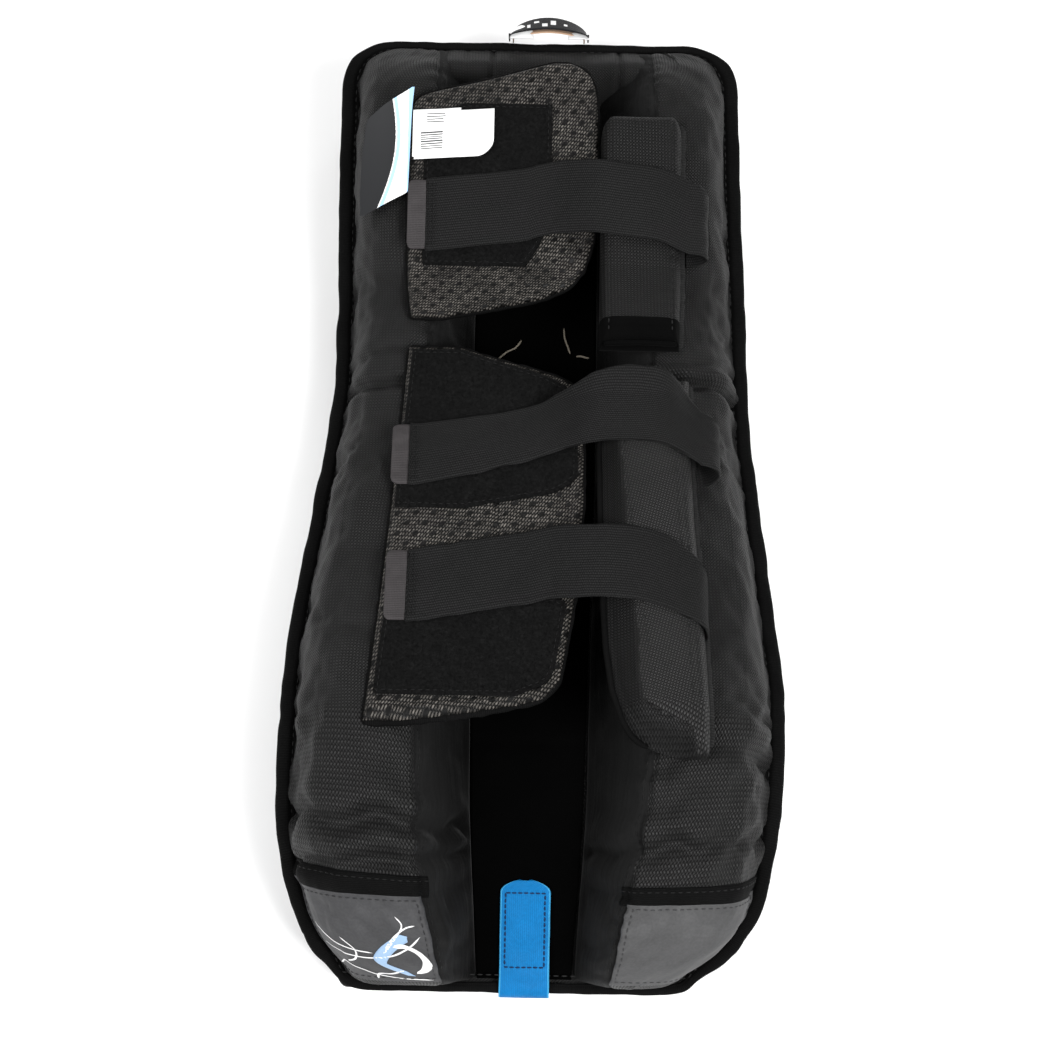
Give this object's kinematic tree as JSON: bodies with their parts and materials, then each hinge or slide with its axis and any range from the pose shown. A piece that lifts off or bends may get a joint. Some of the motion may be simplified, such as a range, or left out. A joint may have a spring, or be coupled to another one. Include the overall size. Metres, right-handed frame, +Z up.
{
  "type": "goalie leg pad",
  "caption": "Padded ice hockey goalie leg pad lying on its front face, with side bolsters, leg channel, mesh leg wraps and elastic straps that peel open.",
  "frame": {"origin": "middle of the pad's box, at the level of the surface it lies on", "axes": "+Z up, away from the front face that it lies on; +Y from the toe end to the thigh end; +X across, to the side that the straps are sewn to"},
  "size_m": [0.2957, 0.6189, 0.1406],
  "materials": {
    "front_cover": "fine-grained synthetic leather, satin",
    "foam": null,
    "stiffener": "sheet plastic",
    "ballistic_nylon": "plain woven nylon, slight sheen",
    "brushed_liner": "brushed knit, matt",
    "binding_tape": "ribbed binding tape",
    "vinyl_patch": "smooth vinyl, satin",
    "blue_webbing": "satin woven webbing",
    "black_webbing": "woven webbing",
    "white_tape": "satin label tape",
    "card": "coated card",
    "lace": "waxed lace",
    "elastic": "ribbed knit elastic, matt",
    "air_mesh": "spacer mesh over dark foam",
    "loop_pile": "brushed loop pile",
    "hook_tab": "moulded hook tape"
  },
  "bodies": {
    "root": {"face_cover": "front_cover", "toe_cap": "front_cover", "thigh_end_cap": "front_cover", "boot_board": "foam", "shin_board": "foam", "knee_board": "foam", "thigh_board": "foam", "shin_stiffener": "stiffener", "back_cover": "ballistic_nylon", "edge_binding": "binding_tape", "toe_binding": "binding_tape", "channel_liner_boot": "brushed_liner", "channel_liner_shin": "brushed_liner", "channel_liner_thigh": "brushed_liner", "left_calf_bolster_cover": "ballistic_nylon", "left_calf_bolster_foam": "foam", "left_thigh_bolster_cover": "ballistic_nylon", "left_thigh_bolster_foam": "foam", "right_calf_bolster_cover": "ballistic_nylon", "right_calf_bolster_foam": "foam", "right_thigh_bolster_cover": "ballistic_nylon", "right_thigh_bolster_foam": "foam", "left_boot_patch": "vinyl_patch", "right_boot_patch": "vinyl_patch", "foot_strap": "blue_webbing", "hang_loop": "black_webbing", "hang_loop_ends": "white_tape", "hang_tag": "card", "lace_ends": "lace", "knee_strap_anchor": "elastic", "upper_calf_strap_anchor": "elastic"},
    "knee_strap_body": {"knee_strap": "elastic", "knee_strap_tab": "hook_tab", "knee_strap_hook": "hook_tab"},
    "knee_flap_body": {"knee_flap_cover": "air_mesh", "knee_flap_foam": "foam", "knee_loop_panel": "loop_pile", "care_label": "white_tape"},
    "knee_block_body": {"knee_block_cover": "ballistic_nylon", "knee_block_foam": "foam", "knee_block_piping": "binding_tape"},
    "upper_calf_strap_body": {"upper_calf_strap": "elastic", "upper_calf_strap_tab": "hook_tab", "upper_calf_strap_hook": "hook_tab"},
    "calf_wrap_body": {"calf_wrap_cover": "air_mesh", "calf_wrap_foam": "foam", "upper_calf_loop_panel": "loop_pile", "lower_calf_loop_panel": "loop_pile"},
    "calf_wing_body": {"calf_wing_cover": "ballistic_nylon", "calf_wing_foam": "foam", "calf_wing_piping": "binding_tape", "lower_calf_strap_anchor": "elastic"},
    "lower_calf_strap_body": {"lower_calf_strap": "elastic", "lower_calf_strap_tab": "hook_tab", "lower_calf_strap_hook": "hook_tab"}
  },
  "joints": [
    {"name": "knee_strap_open", "type": "hinge", "parent": "root", "child": "knee_strap_body", "pos_m": [0.1023, 0.1474, 0.11393], "axis": [0, 0.9848, 0.1736], "range_deg": [0, 155]},
    {"name": "knee_flap_open", "type": "hinge", "parent": "root", "child": "knee_flap_body", "pos_m": [-0.0828, 0.15645, 0.11535], "axis": [0, 0.9875, 0.1578], "range_deg": [-75, 0]},
    {"name": "knee_block_open", "type": "hinge", "parent": "root", "child": "knee_block_body", "pos_m": [0.0887, 0.14667, 0.10414], "axis": [0, 0.9884, 0.1518], "range_deg": [0, 39]},
    {"name": "upper_calf_strap_open", "type": "hinge", "parent": "root", "child": "upper_calf_strap_body", "pos_m": [0.1083, 0.00607, 0.10696], "axis": [0, 0.9944, -0.1057], "range_deg": [0, 155]},
    {"name": "calf_wrap_open", "type": "hinge", "parent": "root", "child": "calf_wrap_body", "pos_m": [-0.0875, -0.04973, 0.11702], "axis": [0.0685, 0.9921, -0.1055], "range_deg": [-75, 0]},
    {"name": "calf_wing_open", "type": "hinge", "parent": "root", "child": "calf_wing_body", "pos_m": [0.0978, -0.06897, 0.10789], "axis": [-0.0344, 0.9929, -0.114], "range_deg": [0, 39]},
    {"name": "lower_calf_strap_open", "type": "hinge", "parent": "calf_wing_body", "child": "lower_calf_strap_body", "pos_m": [0.0867, -0.08428, 0.13094], "axis": [0, 0.9903, -0.1392], "range_deg": [0, 117]}
  ],
  "couplings": [
    {"joint": "knee_flap_open", "follows": "knee_strap_open", "ratio": -0.48},
    {"joint": "knee_block_open", "follows": "knee_strap_open", "ratio": 0.25},
    {"joint": "calf_wrap_open", "follows": "upper_calf_strap_open", "ratio": -0.48},
    {"joint": "calf_wing_open", "follows": "upper_calf_strap_open", "ratio": 0.25},
    {"joint": "lower_calf_strap_open", "follows": "upper_calf_strap_open", "ratio": 0.75}
  ]
}
